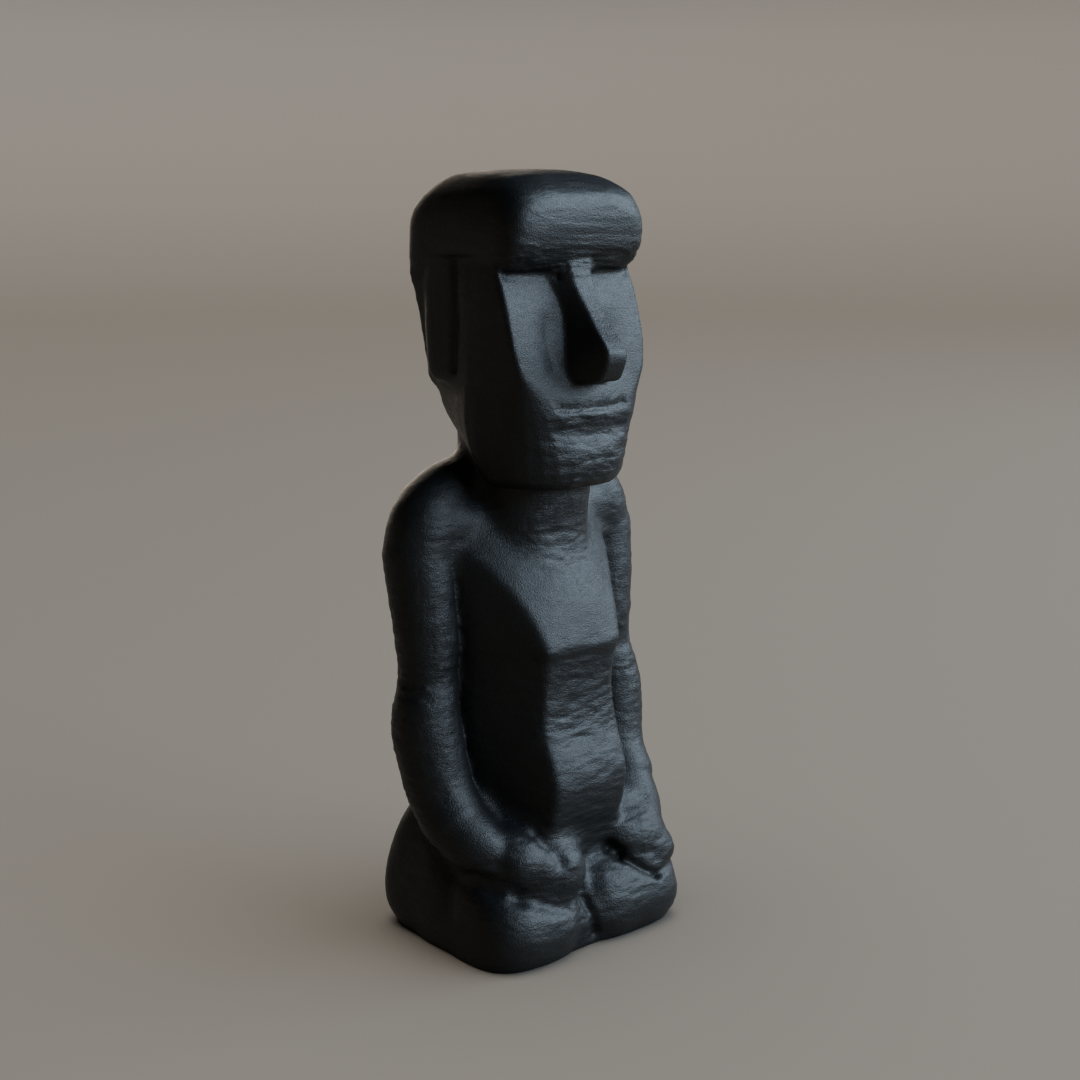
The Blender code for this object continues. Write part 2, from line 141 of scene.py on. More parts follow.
def slab_ring(slab):
    """A slab's outline: one half is worked out, and the other mirrors it."""
    flat, fall = slab.edge - slab.soft, slab.edge_y - slab.front
    corner, side = Vector((slab.edge, slab.edge_y)), Vector((slab.side, slab.side_y))
    half = [Vector((flat * t, slab.front + fall * (flat * t / slab.edge) ** 2)) for t in QUARTERS]
    start, end = half[-1], corner + (side - corner).normalized() * slab.soft
    half += [start * (1 - t) ** 2 + corner * 2 * t * (1 - t) + end * t * t for t in FIFTHS]
    back = [Vector((slab.corner * t, slab.back - BACK_BOW * t * t)) for t in QUARTERS[::-1]]
    blunted = side.lerp(end, BLUNT).lerp(back[0], BLUNT)
    half += [side.lerp(end, BESIDE), blunted, side.lerp(back[0], BESIDE)] + back
    return [(x, y, slab.z) for x, y in half] + [(-x, y, slab.z) for x, y in half[-2:0:-1]]


def glide(levels, steps=5):
    """Put smooth steps between the named levels (a Catmull-Rom curve)."""
    kind, out = type(levels[0]), []
    last = len(levels) - 1
    for i in range(last):
        quad = [levels[k] for k in (max(i - 1, 0), i, i + 1, min(i + 2, last))]
        for k in range(steps):
            t = k / steps
            out.append(kind(*((2 * b + (c - a) * t + (2 * a - 5 * b + 4 * c - d) * t ** 2
                               + (3 * b - a - 3 * c + d) * t ** 3) / 2
                              for a, b, c, d in zip(*quad))))
    return out + [levels[last]]


# %% Balls and limbs
def add_ball(centre, radii, turn=(0, 0, 0)):
    """A ball, squashed to three radii and turned about X, Y and Z in degrees."""
    place = Matrix.Translation(Vector(centre) * MM)
    for axis, degrees in zip("XYZ", turn):
        place = place @ Matrix.Rotation(radians(degrees), 4, axis)
    place = place @ Matrix.Diagonal((*radii, 1)) @ Matrix.Scale(MM, 4)
    bmesh.ops.create_icosphere(clay, subdivisions=4, radius=1.0, matrix=place)


Joint = namedtuple("Joint", "x y z radius")


def add_limb(joints, side=1):
    """Balls and cones along a smooth curve through the joints. Side -1 mirrors it."""
    chain = [(Vector((side * j.x, j.y, j.z)), j.radius) for j in glide(joints, 3)]
    for centre, radius in chain:
        add_ball(centre, (radius,) * 3)
    for (start, thick), (end, thin) in zip(chain, chain[1:]):
        along = end - start
        place = Matrix.Translation((start + end) / 2 * MM)
        place = place @ along.to_track_quat("Z", "Y").to_matrix().to_4x4()
        bmesh.ops.create_cone(clay, cap_ends=True, segments=48, radius1=thick * MM,
                              radius2=thin * MM, depth=along.length * MM, matrix=place)


# %% [markdown]
# ## Hips, legs and knees
# The figure kneels, and the folded legs make a low block that it stands on. The hips behind
# are higher than the thighs in front. Everything reaches 3 mm below the ground for now: a flat
# cut at the end gives a true underside, which a stack of rounded levels never would. The knees
# share one stack: the right one is a little narrower and rounder than the left.

# %% Seat, thighs and knees
add_loft([level_ring(l) for l in glide([
    Level(-3.0, 16.4, -8.0, 13.0, 4.4),
    Level(0.0, 18.4, -8.0, 14.8, 5.0),
    Level(3.5, 19.9, -8.0, 16.2, 5.2),
    Level(8.0, 20.0, -7.0, 16.4, 5.2),
    Level(12.0, 19.4, -5.0, 16.0, 4.8),
    Level(16.0, 18.2, -3.0, 15.2, 4.4),
    Level(20.0, 16.4, -1.0, 13.8, 3.8),
    Level(24.0, 13.3, 1.0, 12.0, 3.2)])])
add_loft([level_ring(l) for l in glide([
    Level(-3.0, 17.2, -13.4, 8.0, 4.8),
    Level(0.0, 19.2, -15.4, 9.0, 5.2),
    Level(3.0, 20.2, -16.4, 9.0, 5.2),
    Level(5.5, 20.3, -16.6, 9.0, 5.0),
    Level(8.5, 18.8, -14.4, 9.0, 4.0),
    Level(11.5, 16.8, -12.2, 8.0, 3.6),
    Level(14.5, 14.0, -10.4, 6.0, 3.4)])])
knee = glide([
    Level(-3.0, 8.4, -13.8, 0.0, 3.0),
    Level(0.0, 9.6, -16.2, 0.0, 3.2),
    Level(2.0, 10.1, -17.4, 0.0, 3.4),
    Level(4.4, 10.3, -18.0, 0.0, 3.4),
    Level(6.6, 10.2, -17.8, 0.0, 3.3),
    Level(9.0, 9.8, -16.9, 0.0, 3.1),
    Level(11.4, 8.8, -15.0, 0.0, 2.9),
    Level(13.5, 6.8, -11.8, 0.0, 2.7)])
for centre, widen, blunt in ((-10.6, 0.94, 2.8), (9.3, 1.06, 3.4)):
    add_loft([level_ring(l._replace(half=l.half * widen, power=min(l.power, blunt)), centre)
              for l in knee])
print("clay so far:", len(clay.faces), "faces")

# %% [markdown]
# ## Trunk
# The chest is a flat plate, tilted back, with a hard lower edge across the body. Under it the
# belly falls away, swells at the navel and tucks in to the lap. The sides are flat facets that
# meet the front in a clear line, so the outline is made of straight pieces with corners.

# %% Belly and chest
belly = [
    Slab(8.0, -10.4, 7.2, -10.4, 15.0, 1.0, 10.0, 11.0, 0.5),
    Slab(17.0, -12.6, 7.4, -12.4, 15.0, 2.6, 11.0, 12.0, 0.5),
    Slab(21.5, -14.6, 7.5, -14.3, 15.0, 3.0, 11.0, 12.0, 0.5),
    Slab(26.0, -15.6, 7.5, -15.3, 15.1, 3.0, 11.5, 11.8, 0.5),
    Slab(30.0, -14.9, 7.6, -14.6, 15.2, 3.0, 11.5, 11.4, 0.5),
    Slab(34.5, -13.1, 7.7, -12.8, 15.2, 3.0, 11.5, 11.0, 0.5),
    Slab(39.0, -12.4, 7.2, -12.1, 15.3, 2.8, 11.5, 10.8, 0.5),
    Slab(43.5, -12.6, 7.1, -12.3, 15.5, 2.2, 11.5, 10.8, 0.5),
    Slab(47.2, -13.2, 7.3, -12.9, 15.8, 1.8, 12.0, 11.2, 0.5)]
chest = [
    Slab(48.0, -13.8, 7.6, -13.5, 15.8, 1.8, 12.0, 11.2, 0.5),
    Slab(54.0, -11.9, 9.2, -10.5, 16.4, 1.6, 12.5, 11.6, 0.5),
    Slab(60.5, -9.0, 12.4, -5.3, 17.4, 3.0, 13.0, 11.9, 0.5),
    Slab(65.0, -6.2, 16.0, 0.2, 18.0, 4.2, 13.0, 12.0, 0.5),
    Slab(69.0, -3.9, 15.4, 0.9, 16.6, 5.0, 11.6, 11.6, 1.5),
    Slab(72.4, -1.6, 13.2, 2.4, 14.4, 5.4, 10.4, 11.4, 2.0),
    Slab(75.6, 1.6, 9.6, 4.2, 10.8, 6.0, 8.6, 11.0, 2.0)]
add_loft([slab_ring(s) for s in glide(belly) + glide(chest)])

# %% [markdown]
# ## Shoulders and hands
# A limb slopes from the neck over each shoulder, and a short one fills the front of it. The
# wrists and hands are soft mitts on the thighs. They differ: the right one turns inwards and
# curls over its thigh, and the left one points outwards and down. The arms between them follow
# in a later step.

# %% Shoulders
shoulder = [
    Joint(7.0, 6.4, 72.0, 5.0),
    Joint(13.2, 5.0, 70.6, 5.2),
    Joint(17.2, 4.1, 67.6, 5.6),
    Joint(19.1, 4.0, 62.6, 5.3)]
for side in (-1, 1):
    add_limb(shoulder, side)
    add_limb([Joint(13.0, 2.2, 67.2, 4.2), Joint(17.6, 3.8, 66.6, 5.0)], side)
print("clay so far:", len(clay.faces), "faces")

# %% Hands
add_limb([                                          # right wrist, then a fist of three balls
    Joint(-18.1, -3.2, 21.6, 4.8),
    Joint(-16.9, -6.0, 18.9, 4.8),
    Joint(-14.6, -8.3, 17.1, 4.5),
    Joint(-12.4, -10.0, 16.0, 4.5)])
add_ball((-11.6, -11.2, 15.4), (4.8, 4.3, 4.6), (-20, 14, 0))
add_ball((-8.6, -12.2, 14.2), (5.0, 4.3, 4.9), (-20, 10, 0))
add_ball((-5.6, -12.9, 13.5), (5.0, 4.3, 5.2), (-18, 8, 0))
add_limb([                                          # left wrist, then the hand and its thumb
    Joint(18.4, -3.0, 21.4, 4.8),
    Joint(17.0, -6.8, 16.8, 4.8),
    Joint(14.6, -9.6, 15.2, 4.6)])
add_ball((13.2, -6.8, 17.8), (6.0, 5.0, 4.6))
add_ball((12.4, -11.4, 14.0), (6.8, 4.2, 4.6), (-24, 12, 0))
add_ball((15.2, -12.0, 11.4), (5.4, 4.2, 4.2), (-18, 20, 0))
add_ball((12.4, -13.2, 10.0), (3.0, 3.0, 3.0))
print("clay so far:", len(clay.faces), "faces")

# %% [markdown]
# ## Neck, then a second lot of clay
# The neck is the last lump of the body. On the body, lumps melt into each other softly, but
# the head and the arms meet it in hard creases. So the body's clay is put aside here, and a
# second lot is started for the arms and the head. The arms are round and nearly straight, with
# a narrow elbow, and lie against the flat sides. The left one stands out a touch more.

# %% Neck
add_loft([level_ring(l) for l in glide([
    Level(58.0, 10.4, -9.0, 10.6, 2.5),
    Level(61.5, 10.0, -8.6, 10.8, 2.5),
    Level(65.0, 9.6, -8.0, 10.8, 2.5),
    Level(72.0, 9.5, -8.9, 10.8, 2.6),
    Level(80.0, 9.6, -9.6, 10.4, 2.8),
    Level(88.0, 9.6, -9.0, 10.0, 2.8)])])
body_clay, clay = clay, bmesh.new()
print("body clay:", len(body_clay.faces), "faces")

# %% Arms
arm = [
    Joint(19.1, 4.0, 62.6, 5.3),
    Joint(18.8, 3.1, 55.0, 5.1),
    Joint(18.4, 2.6, 48.0, 4.85),
    Joint(18.5, 2.4, 43.4, 4.6),
    Joint(19.4, 1.9, 36.4, 5.4),
    Joint(19.0, 0.9, 30.6, 5.4),
    Joint(18.4, -0.6, 25.2, 5.15),
    Joint(18.1, -3.2, 21.6, 5.0)]
for side, out in ((-1, 0.0), (1, 0.4)):
    add_limb([joint._replace(x=joint.x + out) for joint in arm], side)
print("second clay so far:", len(clay.faces), "faces")

# %% [markdown]
# ## Head
# The head is a long block with rounded corners. The cheeks are one flat plane that leans
# forward to the mouth, the jaw is rounder, and the brow is a straight bar that stands out over
# the cheeks. The face stack and the brow stack are smoothed apart from each other, so the step
# between them stays hard. The face is the plain type that all such statues share. The nose is
# a stack of four-cornered wedges, the upper lip is a thin bowed limb, and each ear is a long
# flat loft along the back half of the head.

# %% Face and brow
face = [
    Slab(73.0, -13.0, 8.6, -11.8, 10.2, -4.0, 6.0, -1.0, 4.8),
    Slab(74.0, -14.2, 9.8, -12.8, 11.8, -3.4, 7.0, 2.0, 6.0),
    Slab(75.4, -14.8, 10.3, -13.3, 12.4, -2.6, 7.4, 3.4, 6.4),
    Slab(77.4, -15.1, 10.7, -13.6, 12.9, -1.8, 7.8, 5.4, 6.6),
    Slab(79.3, -15.1, 11.1, -13.7, 13.2, -1.2, 8.4, 7.4, 6.6),
    Slab(81.4, -14.8, 11.5, -13.6, 13.5, -1.0, 9.0, 9.0, 6.2),
    Slab(84.0, -15.0, 11.9, -13.7, 13.8, -1.0, 9.6, 10.4, 5.2),
    Slab(86.6, -14.5, 12.0, -13.5, 14.0, -1.4, 10.2, 10.9, 3.6),
    Slab(88.6, -14.0, 12.3, -13.2, 14.1, -2.0, 11.4, 11.6, 2.0),
    Slab(90.4, -13.5, 12.8, -12.9, 14.2, -2.4, 11.6, 11.8, 1.0),
    Slab(93.5, -12.7, 13.4, -12.3, 14.2, -2.6, 12.0, 12.2, 0.6),
    Slab(97.0, -11.8, 13.6, -11.4, 14.1, -2.6, 12.3, 12.6, 0.5),
    Slab(101.5, -10.4, 13.6, -10.1, 14.0, -2.6, 12.8, 13.3, 0.5),
    Slab(104.8, -9.1, 13.5, -8.8, 13.8, -2.6, 13.1, 14.3, 0.5),
    Slab(107.0, -8.6, 13.4, -8.4, 13.6, -2.6, 12.9, 14.3, 0.5)]
brow = [
    Level(104.6, 13.2, -9.2, 14.2, 9.0),
    Level(105.6, 13.4, -10.3, 14.2, 9.0),
    Level(107.2, 13.7, -11.6, 14.2, 9.0),
    Level(108.8, 13.9, -12.6, 14.0, 8.5),
    Level(110.6, 14.0, -13.0, 14.0, 8.0),
    Level(112.6, 13.9, -13.2, 14.0, 7.5),
    Level(114.8, 13.5, -13.0, 13.6, 6.0),
    Level(116.9, 12.7, -12.0, 12.0, 5.0),
    Level(118.8, 10.8, -9.2, 10.0, 4.0),
    Level(119.6, 8.8, -7.2, 8.4, 3.4),
    Level(120.0, 6.2, -4.8, 6.2, 2.8),
    Level(120.2, 2.6, -1.4, 3.2, 2.2)]
add_loft([slab_ring(s) for s in glide(face)])
add_loft([level_ring(l) for l in glide(brow)])
print("second clay so far:", len(clay.faces), "faces")

# %% Nose, lips and ears
Wedge = namedtuple("Wedge", "z ridge ridge_half root_half")
ROOT_Y = -8.0                                       # where the wedges end, inside the head
LIP_MIDDLE, LIP_HALF = 0.2, 6.8
EAR_OUT = 12.1
nose = [
    Wedge(89.0, -15.0, 2.8, 5.6),
    Wedge(89.4, -17.8, 2.2, 6.2),
    Wedge(90.2, -18.9, 2.0, 6.2),
    Wedge(92.6, -20.0, 2.0, 5.5),
    Wedge(94.4, -19.6, 2.0, 4.8),
    Wedge(97.2, -17.0, 1.7, 4.2),
    Wedge(99.8, -14.9, 1.5, 4.4),
    Wedge(102.4, -13.2, 1.8, 5.2),
    Wedge(104.6, -12.2, 1.9, 5.8),
    Wedge(107.5, -11.6, 2.1, 6.4)]
add_loft([[(-w.ridge_half, w.ridge, w.z), (w.ridge_half, w.ridge, w.z),
           (w.root_half, ROOT_Y, w.z), (-w.root_half, ROOT_Y, w.z)] for w in glide(nose)])
add_limb([Joint(LIP_MIDDLE + LIP_HALF * t, -14.0 + 0.8 * t * t, 84.1, 1.2 - 0.6 * t * t)
          for t in (-1, -0.5, 0, 0.5, 1)])
ear = [
    Level(88.6, 0.9, 1.8, 7.2, 3.0),
    Level(90.4, 1.4, 0.8, 8.4, 3.6),
    Level(98.0, 1.6, 0.0, 9.0, 3.6),
    Level(106.0, 1.6, 0.4, 9.0, 3.6),
    Level(110.0, 1.0, 1.8, 8.0, 3.0)]
for side in (-1, 1):
    add_loft([level_ring(l, side * EAR_OUT) for l in glide(ear)])
print("second clay:", len(clay.faces), "faces")

# %% [markdown]
# ## Fusing the clay
# The Remesh modifier in voxel mode wraps one skin round all the lumps. It leaves a hard crease
# where two lumps meet. On the body those creases have to be soft, as if a thumb had pressed
# them. So the body is swollen by `FILLET`, wrapped again and shrunk back: narrow gaps close on
# the way out and stay closed on the way in, and outer edges stay sharp. The head and the arms
# join afterwards, so they keep their creases. Small voxels cost faces, so Decimate then drops
# faces where the surface is flat.

# %% Fuse
BODY_VOXEL, FUSE_VOXEL = 0.5, 0.36
FILLET = 1.2                                        # creases narrower than about twice this fill up
BODY_PASSES, EDGE_PASSES = 6, 3                     # how often the skin is eased
KEEP = 0.56                                         # share of the faces that Decimate leaves


def link(name, mesh):
    """Make an object from a mesh and put it in the scene."""
    piece = bpy.data.objects.new(name, mesh)
    bpy.context.collection.objects.link(piece)
    return piece


def applied(piece, name):
    """The piece's mesh with its modifiers applied. The piece itself is removed."""
    graph = bpy.context.evaluated_depsgraph_get()
    mesh = bpy.data.meshes.new_from_object(piece.evaluated_get(graph))
    mesh.name = name
    bpy.data.objects.remove(piece)
    return mesh


def poured(lumps, name):
    """Turn a bmesh of lumps into a mesh whose faces all point outwards."""
    bmesh.ops.recalc_face_normals(lumps, faces=lumps.faces)
    mesh = bpy.data.meshes.new(name)
    lumps.to_mesh(mesh)
    lumps.free()
    return mesh


def wrap(piece, voxel):
    """One closed skin round everything, with faces of about this size."""
    fuse = piece.modifiers.new("fuse", "REMESH")
    fuse.mode, fuse.voxel_size = "VOXEL", voxel * MM


def swell(piece, amount):
    """Move the skin outwards, or inwards if the amount is negative."""
    grow = piece.modifiers.new("swell", "DISPLACE")
    grow.strength, grow.mid_level = amount * MM, 0.0


def ease(piece, passes):
    """Take off the steps that the voxels leave."""
    soften = piece.modifiers.new("ease", "SMOOTH")
    soften.factor, soften.iterations = 0.5, passes


body = link("body", poured(body_clay, "body"))
wrap(body, BODY_VOXEL)
for amount in (FILLET, -FILLET):
    swell(body, amount)
    wrap(body, BODY_VOXEL)
ease(body, BODY_PASSES)
body_skin = applied(body, "body_skin")
print("body skin:", len(body_skin.polygons), "faces")

# %% Join the head and the arms
clay.from_mesh(body_skin)
rough = link("rough", poured(clay, "rough"))
wrap(rough, FUSE_VOXEL)
ease(rough, EDGE_PASSES)
thin = rough.modifiers.new("thin", "DECIMATE")
thin.ratio = KEEP
skin = applied(rough, "skin")
print("fused skin:", len(skin.polygons), "faces")

# %% [markdown]
# ## Carving strokes
# Narrow lines, such as the slit of the mouth or the creases of a hand, are too fine to model
# as lumps. They are pressed in afterwards. A stroke is a line through named points, with a
# width and a depth. Its points are first laid on the skin. Then each point of the skin near the
# line moves inwards along its normal, and the push fades away sideways like a bell curve.

# %% Strokes
Stroke = namedtuple("Stroke", "width depth points")
strokes = [
    # the mouth's slit, and the hollow under the lower lip
    Stroke(0.45, 0.45, [(-6.6, -14.0, 85.4), (-3, -14.7, 85.2), (3, -14.8, 85.2),
                        (7.0, -14.0, 85.4)]),
    Stroke(1.6, 0.4, [(-5.6, -14.6, 81.6), (0, -15.0, 81.2), (6.4, -14.4, 81.6)]),
    # shallow hollows of the cheeks beside the nose
    Stroke(1.5, 0.55, [(-5.8, -11.9, 97.8), (-6.6, -12.6, 94.6), (-6.0, -13.3, 91.4)]),
    Stroke(1.5, 0.55, [(5.8, -11.9, 97.8), (6.6, -12.6, 94.6), (6.0, -13.3, 91.4)]),
    # the furrow in front of each long ear
    Stroke(0.6, 0.45, [(-13.2, 1.6, 90.6), (-13.5, 0.7, 98.0), (-13.7, 1.0, 108.0)]),
    Stroke(0.6, 0.45, [(13.2, 1.6, 90.6), (13.5, 0.7, 98.0), (13.7, 1.0, 108.0)]),
    # the corner under the brow, deepest beside the nose
    Stroke(0.7, 0.5, [(-12.5, -9.4, 104.9), (-7, -9.8, 104.8), (-3.6, -10.6, 104.6)]),
    Stroke(0.7, 0.5, [(12.5, -9.4, 104.9), (7, -9.8, 104.8), (3.6, -10.6, 104.6)]),
    # right hand: the bend of the wrist, the gap under the hand, the thumb's hollow and crease
    Stroke(1.4, 0.5, [(-13.6, -8.4, 21.0), (-15.0, -11.0, 19.4), (-16.6, -12.0, 16.6)]),
    Stroke(1.3, 0.5, [(-19.6, -8.6, 13.4), (-17.0, -11.0, 12.0), (-14.4, -13.4, 10.8)]),
    Stroke(1.2, 0.75, [(-14.4, -13.4, 10.8), (-12.2, -15.0, 10.0), (-9.4, -16.4, 9.0),
                       (-6.6, -17.2, 8.2)]),
    Stroke(1.1, 0.6, [(-9.4, -12.0, 19.0), (-8.4, -13.8, 17.2), (-7.4, -15.4, 15.4)]),
    # left hand: the hollow beside it, the gap under it and its outer edge
    Stroke(1.0, 1.5, [(5.7, -13.2, 14.0), (7.2, -14.2, 12.8)]),
    Stroke(0.7, 0.9, [(7.6, -14.4, 12.2), (10.7, -15.4, 9.4), (13.0, -15.8, 8.0)]),
    Stroke(0.7, 0.5, [(13.0, -15.8, 8.0), (15.8, -15.0, 8.9), (18.6, -13.6, 9.6)]),
    # the groove between the knees, and the elbows' creases
    Stroke(0.8, 0.9, [(-0.6, -14.0, 13.0), (-1.4, -15.4, 11.0), (-1.5, -16.4, 8.6),
                      (-1.2, -17.0, 6.4), (-0.6, -17.0, 4.0), (0.0, -16.4, 1.6)]),
    Stroke(1.5, 0.25, [(-15.6, -0.6, 45.0), (-18.8, -1.8, 43.4), (-22.6, 0.6, 42.6)]),
    Stroke(1.5, 0.25, [(15.6, -0.6, 45.0), (18.8, -1.8, 43.4), (22.6, 0.6, 42.6)])]


def read_points(mesh, what):
    """One vector attribute of every point, such as co or normal, as an array of rows."""
    flat = np.empty(len(mesh.vertices) * 3, dtype=np.float32)
    mesh.vertices.foreach_get(what, flat)
    return flat.reshape(-1, 3).astype(float)


def distance_to_line(points, line):
    """How far each point is from the nearest piece of a bent line."""
    nearest = np.full(len(points), np.inf)
    for start, end in zip(line, line[1:]):
        along = end - start
        share = np.clip((points - start) @ along / max(along @ along, 1e-9), 0, 1)
        away = points - start - share[:, None] * along
        nearest = np.minimum(nearest, np.linalg.norm(away, axis=1))
    return nearest


def carve(mesh, strokes):
    """Press the strokes into the mesh. Says how many points have moved."""
    points, normals = read_points(mesh, "co") / MM, read_points(mesh, "normal")
    push = np.zeros(len(points))
    solid = bmesh.new()
    solid.from_mesh(mesh)
    tree = BVHTree.FromBMesh(solid)
    for stroke in strokes:
        line = [np.array(tree.find_nearest(Vector(point) * MM)[0]) / MM for point in stroke.points]
        push += stroke.depth * np.exp(-(distance_to_line(points, line) / stroke.width) ** 2)
    solid.free()
    points -= normals * push[:, None]
    mesh.vertices.foreach_set("co", (points * MM).astype(np.float32).ravel())
    mesh.update()
    return int((push > 0.05).sum())


print("points moved by the strokes:", carve(skin, strokes))

# %% [markdown]
# ## Ripples of the print
# The plastic isn't smooth. Melted layers leave low waves that run round the figure, strongest
# on the belly and below the neck, and nearly absent on the cheeks. Modelling each one would be
# endless, so Geometry Nodes moves every point along its normal by a noise that is stretched
# sideways. First the skin gets an attribute, `ripple`, that says how strong the waves are at
# each point. It is built from a few soft zones round named places.

# %% Where the ripples are strong
Zone = namedtuple("Zone", "centre radii strength")
zones = [
    Zone((0, -13, 40.5), (10, 6, 8), 1.0),          # upper belly
    Zone((2, -9, 60), (9, 5, 5), 0.7),              # under the neck
    Zone((0, -14, 26), (9, 5, 8), 0.7),             # lower belly
    Zone((0, -15, 79), (11, 6, 6.5), 1.0),          # chin
    Zone((0, -18, 97), (4, 5, 9), 0.25),            # nose
    Zone((0, -12, 107.2), (16, 5, 2.8), 1.3),       # underside of the brow
    Zone((0, -12, 114), (13, 5, 5), 0.45),          # forehead
    Zone((-19, 2, 40), (7, 8, 26), 0.8),            # right arm
    Zone((19, 2, 40), (7, 8, 26), 0.8),             # left arm
    Zone((0, -7, 68), (11, 6, 6), 0.8),             # neck
    Zone((0, -14, 12), (22, 8, 12), 0.65)]          # lap and knees
CALM = 0.16                                         # everywhere else
ZONE_END = 1.6                                      # a zone fades out at this many radii


def paint_ripple(mesh):
    """Store the strength of the ripples on every point, and give back its mean."""
    points = read_points(mesh, "co") / MM
    strength = np.full(len(points), CALM)
    for zone in zones:
        reach = np.linalg.norm((points - np.array(zone.centre)) / np.array(zone.radii), axis=1)
        strength = np.maximum(strength, zone.strength * np.clip(ZONE_END - reach, 0, 1))
    ripple = mesh.attributes.new("ripple", "FLOAT", "POINT")
    ripple.data.foreach_set("value", strength.astype(np.float32))
    return float(strength.mean())


print("mean ripple strength:", round(paint_ripple(skin), 2))

# %% [markdown]
# The node tree is made in code. Its interface names every size, so the same tree would do for
# another print. Two noises are added: long low ripples, and softer lumps the size of a
# fingertip that keep the flat planes from looking machined.

# %% Relief tree
relief = bpy.data.node_groups.new("print_relief", "GeometryNodeTree")
sockets = relief.interface
sockets.new_socket("Geometry", in_out="INPUT", socket_type="NodeSocketGeometry")
for name in ("Ripple Height", "Ripple Pitch", "Ripple Length", "Lump Height", "Lump Size", "Seed"):
    sockets.new_socket(name, in_out="INPUT", socket_type="NodeSocketFloat")
sockets.new_socket("Material", in_out="INPUT", socket_type="NodeSocketMaterial")
sockets.new_socket("Geometry", in_out="OUTPUT", socket_type="NodeSocketGeometry")


def add_node(tree, kind, settings=None, **inputs):
    """Add a node, set its options, and set or wire its inputs.

    Inputs go by name, with _ for a space, or by number as i0, i1 and so on.
    """
    node = tree.nodes.new(kind)
    for key, value in (settings or {}).items():
        setattr(node, key, value)
    for key, value in inputs.items():
        index = int(key[1:]) if key[1:].isdigit() else key.replace("_", " ")
        if isinstance(value, bpy.types.NodeSocket):
            tree.links.new(value, node.inputs[index])
        else:
            node.inputs[index].default_value = value
    return node


def calc(tree, operation, a, b):
    """Sum, product or difference of two values."""
    return add_node(tree, "ShaderNodeMath", {"operation": operation}, i0=a, i1=b).outputs[0]


def vector_calc(tree, operation, **inputs):
    """The same for vectors."""
    return add_node(tree, "ShaderNodeVectorMath", {"operation": operation}, **inputs).outputs[0]


def in_steps(tree, place, x, y, z):
    """The place counted in steps of x, y and z, which gives a texture those sizes."""
    step = add_node(tree, "ShaderNodeCombineXYZ", X=x, Y=y, Z=z).outputs[0]
    return vector_calc(tree, "DIVIDE", i0=place, i1=step)


def noise(tree, place, seed, detail, rough=0.5, twist=0.0):
    """A noise between 0 and 1 with features about one step in size."""
    return add_node(tree, "ShaderNodeTexNoise", {"noise_dimensions": "4D"}, Vector=place, W=seed,
                    Scale=1.0, Detail=detail, Roughness=rough, Distortion=twist).outputs[0]


# %% Wire the relief
asked = relief.nodes.new("NodeGroupInput").outputs
place = relief.nodes.new("GeometryNodeInputPosition").outputs[0]
long, high = asked["Ripple Length"], asked["Ripple Pitch"]
along = in_steps(relief, place, long, long, high)
wave = noise(relief, along, asked["Seed"], detail=3.0, rough=0.6, twist=0.25)
wave = calc(relief, "SUBTRACT", wave, 0.5)
strength = add_node(relief, "GeometryNodeInputNamedAttribute", {"data_type": "FLOAT"},
                    Name="ripple").outputs[0]
wave = calc(relief, "MULTIPLY", wave, strength)
wave = calc(relief, "MULTIPLY", wave, asked["Ripple Height"])
around = in_steps(relief, place, *[asked["Lump Size"]] * 3)
lump = calc(relief, "SUBTRACT", noise(relief, around, asked["Seed"], detail=1.0), 0.5)
lump = calc(relief, "MULTIPLY", lump, asked["Lump Height"])
push = calc(relief, "ADD", wave, lump)
normal = relief.nodes.new("GeometryNodeInputNormal").outputs[0]
offset = vector_calc(relief, "SCALE", i0=normal, Scale=push)
moved = add_node(relief, "GeometryNodeSetPosition", Geometry=asked["Geometry"], Offset=offset)
real = add_node(relief, "GeometryNodeRealizeInstances", Geometry=moved.outputs[0])
coated = add_node(relief, "GeometryNodeSetMaterial", Geometry=real.outputs[0],
                  Material=asked["Material"])
relief.links.new(coated.outputs[0], relief.nodes.new("NodeGroupOutput").inputs[0])
print("relief tree:", len(relief.nodes), "nodes")

# %% [markdown]
# ## Black printed plastic
# Black plastic has almost no colour of its own. What the eye reads is its sheen: a broad, grey
# reflection of the window. So the base colour is near black, and the care goes into roughness
# and bump. The `print_grain` group puts out the two effects that both finishes share: the
# threads of the layers, stretched along the print, and a fine speckle. Each finish then says
# how large they are. The threads stand out only where the ripples are strong, so the bump
# reads the same `ripple` attribute as the relief does.

# %% Grain group
grain = bpy.data.node_groups.new("print_grain", "ShaderNodeTree")
for name, kind, way in (
        ("Vector", "NodeSocketVector", "INPUT"),
        ("Thread Size", "NodeSocketVector", "INPUT"),
        ("Speckle Size", "NodeSocketFloat", "INPUT"),
        ("Threads", "NodeSocketFloat", "OUTPUT"),
        ("Speckle", "NodeSocketFloat", "OUTPUT")):
    grain.interface.new_socket(name, in_out=way, socket_type=kind)
given = grain.nodes.new("NodeGroupInput").outputs
strands = vector_calc(grain, "DIVIDE", i0=given["Vector"], i1=given["Thread Size"])
dots = in_steps(grain, given["Vector"], *[given["Speckle Size"]] * 3)
put_out = grain.nodes.new("NodeGroupOutput")
for output, steps, seed, detail in (("Threads", strands, 3.0, 3.0), ("Speckle", dots, 8.0, 2.0)):
    grain.links.new(noise(grain, steps, seed, detail, rough=0.6), put_out.inputs[output])
print("grain group:", len(grain.nodes), "nodes")

# %% The plastic
SHEEN = 0.26                                        # strength of the plastic's reflection
SPECKLE_SHARE = 0.7                                 # height of the speckle next to the threads
GLOSS_SWING = 0.05                                  # how far the roughness strays either way


